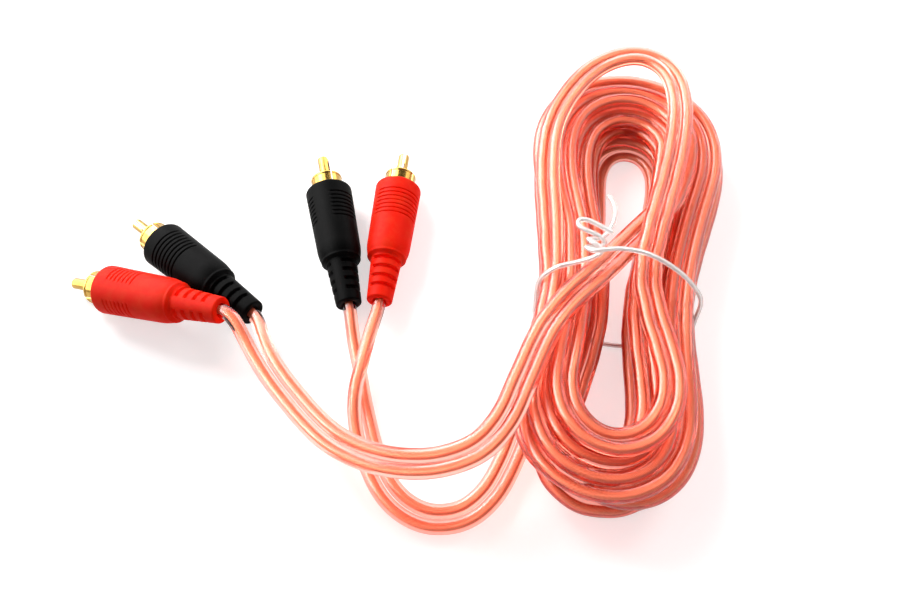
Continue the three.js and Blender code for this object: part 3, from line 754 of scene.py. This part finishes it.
def layLead():
    red, black = settlePair(*pairStart())
    for colour, wound, side in (("red", red, -1), ("black", black, 1)):
        begin = legPath("left_" + colour, leftTwinRoute, side)
        end = legPath("centre_" + colour, rightTwinRoute, side)[::-1]
        whole = eased(np.vstack([begin[:-1], wound, end[1:]]), (begin[-1], end[0]))
        layConductor(colour + "_conductor", whole, "left_" + colour, "centre_" + colour)


layLead()


# plugs

rings = {"angle": 130, "fade": 7, "first": 4.3, "count": 7, "pitch": 1.35, "width": 0.62, "depth": 0.34,
         "margin": 0.6}
slots = {"band": 3.0, "count": 4, "pitch": 2.8, "width": 1.2, "depth": 0.9, "wall": 0.1}
shell = {"diameter": 8.8, "wall": 0.4, "reach": 4.8, "seat": 6.5, "lip": 0.8, "rise": 0.16, "roll": 0.9,
         "rim": 0.12, "slit": 0.6, "slitLength": 4, "slits": (45, 135, 225, 315), "sides": 26,
         "rearSides": 97}
pin = {"diameter": 3.2, "bore": 2.2, "reach": 7.8, "nose": (0.35, 0.5), "slit": 0.9, "slitLength": 8.2,
       "body": 7.8, "middle": 0.001, "sides": 30, "bodySides": 49}
edgeAngle = 40  # the plated metal's edges stay crisp from this angle on


def rowShare(angle):
    # 1 inside the two moulded rows, easing to 0 at their ends
    off = np.degrees(np.abs((angle + math.pi / 2) % math.pi - math.pi / 2))
    share = np.clip((rings["angle"] / 2 - off) / rings["fade"] + 0.5, 0, 1)
    return share * share * (3 - 2 * share)


def gripProfile():
    # radius and how deep the rows are cut, by distance back from the front face
    length, end = grip["length"], grip["length"] + grip["shoulder"] + grip["relief"]
    ringsFrom = rings["first"] - rings["margin"]
    ringsTo = rings["first"] + rings["pitch"] * (rings["count"] - 1) + rings["margin"]
    # sections close together where the rim, the rings, the shoulder and the slots need them
    back = np.unique(np.concatenate([
        np.linspace(0, grip["rim"], 7), np.linspace(grip["rim"], ringsFrom, 5),
        np.linspace(ringsFrom, ringsTo, 116),
        np.linspace(length - 6, length, 8), length + np.linspace(0, grip["shoulder"], 18),
        np.linspace(length + grip["shoulder"], end, 170)]))
    front, rear = grip["front"] / 2, grip["rear"] / 2
    radius = front + (rear - front) * np.clip(back / length, 0, 1)
    rim = np.clip(1 - back / grip["rim"], 0, 1)
    radius -= grip["rim"] * (1 - np.sqrt(np.clip(1 - rim * rim, 0, 1)))
    over = np.clip((back - length) / grip["shoulder"], 0, 1)
    reliefFront, reliefEnd = grip["reliefFront"] / 2, grip["reliefEnd"] / 2
    dome = reliefFront + (rear - reliefFront) * np.sqrt(np.clip(1 - over ** 2, 0, 1))
    # the shoulder runs into the relief through a small fillet
    fillet = np.clip((over - grip["filletFrom"]) / 0.18, 0, 1)
    radius = np.where(back > length, dome + grip["fillet"] * fillet * (1 - fillet) * 4 * (over < 1), radius)
    along = np.clip((back - length - grip["shoulder"]) / grip["relief"], 0, 1)
    radius = np.where(over >= 1, reliefFront + (reliefEnd - reliefFront) * along, radius)
    endRound = grip["endRound"]
    tail = np.clip((back - end + endRound) / endRound, 0, 1)
    radius -= endRound * (1 - np.sqrt(np.clip(1 - tail * tail, 0, 1)))
    cut = np.zeros_like(back)
    for i in range(rings["count"]):
        off = np.abs(back - rings["first"] - i * rings["pitch"])
        cut = np.maximum(cut, rings["depth"] * np.clip(1 - off / (rings["width"] / 2), 0, 1))
    for i in range(slots["count"]):
        centre = end - slots["band"] - slots["width"] / 2 - i * slots["pitch"]
        off = np.abs(back - centre)
        cut = np.maximum(cut, slots["depth"] * np.clip((slots["width"] / 2 - off) / slots["wall"], 0, 1))
    return back, radius, cut


def placed(points, place):
    front, rows, spine, way = plugAxes(place)
    return toFrame(front + points[:, :1] * rows + points[:, 1:2] * spine + points[:, 2:] * way)


def makeGrip(name, place):
    back, radius, cut = gripProfile()
    sides = grip["sides"]
    angle = np.arange(sides) * 2 * math.pi / sides
    outer = radius[:, None] - cut[:, None] * rowShare(angle)[None]
    x, y = outer * np.cos(angle), outer * np.sin(angle)
    z = np.broadcast_to(-back[:, None], x.shape)
    body = np.stack([x, y, z], -1)

    def ring(r, at):
        return np.stack([r * np.cos(angle), r * np.sin(angle), np.full(sides, -at)], -1)[None]

    # the mouth that the shell stands in, and the hole that the cord runs up
    bore, cordBore = shell["diameter"] / 2 + grip["shellRoom"], cord["jacket"] / 2 + grip["cordRoom"]
    end = back[-1]
    grid = np.concatenate([ring(bore, grip["mouth"]), ring(bore, 0.0), body, ring(cordBore, end),
                           ring(cordBore, end - grip["cordSeat"])])
    faces = gridFaces(len(grid), sides)
    piece = meshPiece(name + "_boot", placed(grid.reshape(-1, 3), place), faces, moulded[place["colour"]])
    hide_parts(name + "_grip")


def sectorMesh(profile, first, last, gap, sides):
    # a closed outline of [radius, z] points swept from one slit to the next, with flat slit walls
    profile = np.array(profile)
    trim = np.arcsin(np.clip(gap / 2 / np.maximum(profile[:, 0], gap), -1, 1))
    share = np.linspace(0, 1, sides)
    angle = (first + trim)[None] + share[:, None] * ((last - trim) - (first + trim))[None]
    grid = np.stack([profile[:, 0] * np.cos(angle), profile[:, 0] * np.sin(angle),
                     np.broadcast_to(profile[:, 1], angle.shape)], -1)
    count = len(profile)
    faces = gridFaces(sides, count)
    faces += [list(range(count))[::-1], list(range((sides - 1) * count, sides * count))]
    return grid.reshape(-1, 3), faces


def joinedPiece(name, parts, place, material, node):
    vertices, faces, start = [], [], 0
    for points, found in parts:
        vertices.append(points)
        faces += [[k + start for k in face] for face in found]
        start += len(points)
    piece = meshPiece(name, placed(np.vstack(vertices), place), faces, material)
    edges = piece.modifiers.new("edges", "EDGE_SPLIT")
    edges.split_angle = math.radians(edgeAngle)
    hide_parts(node)


def makeShell(name, place):
    outer, reach = shell["diameter"] / 2, shell["reach"]
    inner, lip, rise = outer - shell["wall"], shell["lip"], shell["rise"]
    start = reach - shell["slitLength"]
    # the rolled lip, then four sprung quarters and the whole ring behind them
    bead = [(outer + rise * math.sin(a), reach - lip / 2 - lip / 2 * math.cos(a))
            for a in np.linspace(0, math.pi * shell["roll"], 9)]
    outline = [(inner, start), (outer, start), *bead, (outer - shell["rim"], reach), (inner, reach)]
    slits = np.radians(shell["slits"])
    parts = [sectorMesh(outline, a, a + math.pi / 2, shell["slit"], shell["sides"]) for a in slits]
    rear = [(inner, -shell["seat"]), (outer, -shell["seat"]), (outer, start), (inner, start)]
    parts.append(sectorMesh(rear, 0, 2 * math.pi, 0, shell["rearSides"]))
    joinedPiece(name + "_plated_shell", parts, place, gold, name + "_ground_shell")


def makePin(name, place):
    tip = shell["reach"] + pin["reach"]
    outer, inner = pin["diameter"] / 2, pin["bore"] / 2
    start = tip - pin["slitLength"]
    # the rounded nose, then the two split halves and the solid body behind them
    inward, back = pin["nose"]
    nose = [(outer - inward * (1 - math.cos(a)), tip - back + back * math.sin(a))
            for a in np.linspace(0, math.pi / 2, 7)]
    outline = [(inner, start), (outer, start), *nose, (inner, tip)]
    parts = [sectorMesh(outline, a, a + math.pi, pin["slit"], pin["sides"]) for a in (0, math.pi)]
    solid = [(pin["middle"], -pin["body"]), (outer, -pin["body"]), (outer, start), (pin["middle"], start)]
    parts.append(sectorMesh(solid, 0, 2 * math.pi, 0, pin["bodySides"]))
    joinedPiece(name + "_plated_pin", parts, place, gold, name + "_centre_pin")


for name, place in plugPlaces.items():
    makeGrip(name, place)
    makeShell(name, place)
    makePin(name, place)
    for node in (name + "_insulator", name + "_inner_mould"):
        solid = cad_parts[node]
        solid.data.materials.clear()
        solid.data.materials.append(polyethylene)
print("plugs made")


# twist tie: its steel wire and its clear cover

def makeTie():
    path = evenly(smoothThrough(tiePath()), tie["step"])
    cover = tubePiece("tie_cover", path, tie["cover"] / 2, tie["sides"], milky)
    tubePiece("tie_wire", path[1:-1], tie["wire"] / 2, tie["wireSides"], wire)
    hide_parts("twist_tie")
    print("tie made")


makeTie()


# studio: a white paper sweep; a key light at the back left and a weaker one at the back right, which light
# the surfaces, and four soft boxes that only gloss and metal show

studio = {"floor": "#dcdbdb", "floorSize": 6, "floorDrop": 0.0002, "world": 0.25, "lift": 0.6,
          "liftFrom": 0.16, "liftTo": 0.5, "ceiling": 0.15, "wall": 0.8, "wallTop": 0.3, "ceilingFrom": 0.75,
          "bounces": 24}
lamps = {
    "key": {"aim": (-0.5, 0.55, 0.67), "distance": 0.8, "size": (0.36, 0.36), "power": 6.0,
            "shows": "diffuse"},
    "side": {"aim": (0.6, 0.5, 0.62), "distance": 0.8, "size": (0.3, 0.3), "power": 2.0,
             "shows": "diffuse"},
    "softboxLeft": {"aim": (-0.76, 0.35, 0.5), "distance": 0.7, "size": (1.0, 1.1), "power": 15.0,
                    "shows": "glossy"},
    "stripLeft": {"aim": (-0.68, 0.42, 0.6), "distance": 0.6, "size": (0.22, 1.0), "power": 5.0,
                  "shows": "glossy"},
    "softboxBack": {"aim": (0.1, 0.85, 0.42), "distance": 0.9, "size": (1.3, 0.6), "power": 9.0,
                    "shows": "glossy"},
    "softboxRight": {"aim": (0.86, 0.25, 0.4), "distance": 0.8, "size": (0.4, 0.8), "power": 1.5,
                     "shows": "glossy"},
}


def looks(tree):
    # 1 where the view meets the background, straight or through clear plastic, and 1 where gloss shows it
    rays = addNode(tree, "ShaderNodeLightPath")
    bounces = addNode(tree, "ShaderNodeMath", links={0: rays.outputs["Diffuse Depth"],
                                                     1: rays.outputs["Glossy Depth"]}, operation="ADD")
    straight = addNode(tree, "ShaderNodeMath", {1: 0.5}, {0: bounces.outputs[0]}, operation="LESS_THAN")
    through = addNode(tree, "ShaderNodeMath", links={0: rays.outputs["Is Transmission Ray"],
                                                     1: straight.outputs[0]}, operation="MULTIPLY")
    seen = addNode(tree, "ShaderNodeMath", links={0: rays.outputs["Is Camera Ray"], 1: through.outputs[0]},
                   operation="MAXIMUM")
    mirrored = addNode(tree, "ShaderNodeMath", {1: 0.5}, {0: rays.outputs["Glossy Depth"]},
                       operation="GREATER_THAN")
    mirrored = addNode(tree, "ShaderNodeMath", links={0: rays.outputs["Is Transmission Ray"],
                                                      1: mirrored.outputs[0]}, operation="MULTIPLY")
    gloss = addNode(tree, "ShaderNodeMath", links={0: rays.outputs["Is Glossy Ray"], 1: mirrored.outputs[0]},
                    operation="MAXIMUM")
    return seen.outputs[0], gloss.outputs[0]


def makeStudio():
    world = bpy.data.worlds.new("studio")
    bpy.context.scene.world = world
    world.use_nodes = True
    tree = world.node_tree
    tree.nodes.clear()
    seen, gloss = looks(tree)
    strength = addNode(tree, "ShaderNodeMapRange", {"To Min": studio["world"], "To Max": 1.0},
                       {"Value": seen})
    # glossy surfaces see white walls and a dark ceiling
    way = addNode(tree, "ShaderNodeTexCoord")
    parts = addNode(tree, "ShaderNodeSeparateXYZ", links={"Vector": way.outputs["Generated"]})
    room = addNode(tree, "ShaderNodeMapRange",
                   {"From Min": studio["wallTop"], "From Max": studio["ceilingFrom"],
                    "To Min": studio["wall"], "To Max": studio["ceiling"]},
                   {"Value": parts.outputs["Z"]}, interpolation_type="SMOOTHSTEP")
    strength = addNode(tree, "ShaderNodeMix",
                       links={0: gloss, 2: strength.outputs["Result"], 3: room.outputs["Result"]})
    light = addNode(tree, "ShaderNodeBackground", {"Color": (1, 1, 1, 1)},
                    {"Strength": strength.outputs[0]})
    addNode(tree, "ShaderNodeOutputWorld", links={"Surface": light.outputs["Background"]})

    # matt white paper, which shows no gloss and keeps the soft shadows
    paper, tree = startMaterial("whitePaperSweep")
    seen, gloss = looks(tree)
    seen = addNode(tree, "ShaderNodeMath", links={0: seen, 1: gloss}, operation="MAXIMUM")
    # away from the cable the lamps fall off, and the paper's own light makes up for it
    place = addNode(tree, "ShaderNodeTexCoord")
    reach = addNode(tree, "ShaderNodeVectorMath", links={0: place.outputs["Object"]}, operation="LENGTH")
    far = addNode(tree, "ShaderNodeMapRange", {"From Min": studio["liftFrom"], "From Max": studio["liftTo"],
                                               "To Min": studio["lift"], "To Max": 1.0},
                  {"Value": reach.outputs["Value"]}, interpolation_type="SMOOTHSTEP")
    lift = addNode(tree, "ShaderNodeMath", links={0: seen.outputs[0], 1: far.outputs["Result"]},
                   operation="MULTIPLY")
    body = addNode(tree, "ShaderNodeBsdfPrincipled", {"Base Color": linear(studio["floor"]), "Roughness": 0.9,
                                                      "Emission Color": (1, 1, 1, 1)},
                   {"Emission Strength": lift.outputs[0]})
    addNode(tree, "ShaderNodeOutputMaterial", links={"Surface": body.outputs["BSDF"]})
    bpy.ops.mesh.primitive_plane_add(size=studio["floorSize"], location=(0, 0, -studio["floorDrop"]))
    floor = bpy.context.object
    floor.name = "paper_sweep"
    floor.data.materials.append(paper)

    for name, lamp in lamps.items():
        data = bpy.data.lights.new(name, "AREA")
        data.shape = "RECTANGLE"
        data.size, data.size_y = lamp["size"]
        data.energy = lamp["power"]
        aim = Vector(lamp["aim"]).normalized()
        # the long side lies across the hank, so its strands carry a wide highlight
        wide = Vector((aim.z, 0, -aim.x)).normalized()
        piece = bpy.data.objects.new(name, data)
        piece.location = aim * lamp["distance"]
        piece.rotation_euler = Matrix((wide, aim.cross(wide), aim)).transposed().to_euler()
        # the soft boxes show in glossy surfaces, and the two small lamps light the rest
        piece.visible_diffuse = lamp["shows"] == "diffuse"
        piece.visible_glossy = lamp["shows"] == "glossy"
        bpy.context.scene.collection.objects.link(piece)
    cycles = bpy.context.scene.cycles
    cycles.max_bounces = studio["bounces"]
    cycles.transmission_bounces = studio["bounces"]
    print("studio lit")


makeStudio()
bpy.context.scene.view_settings.view_transform = "Standard"
print("scene ready")
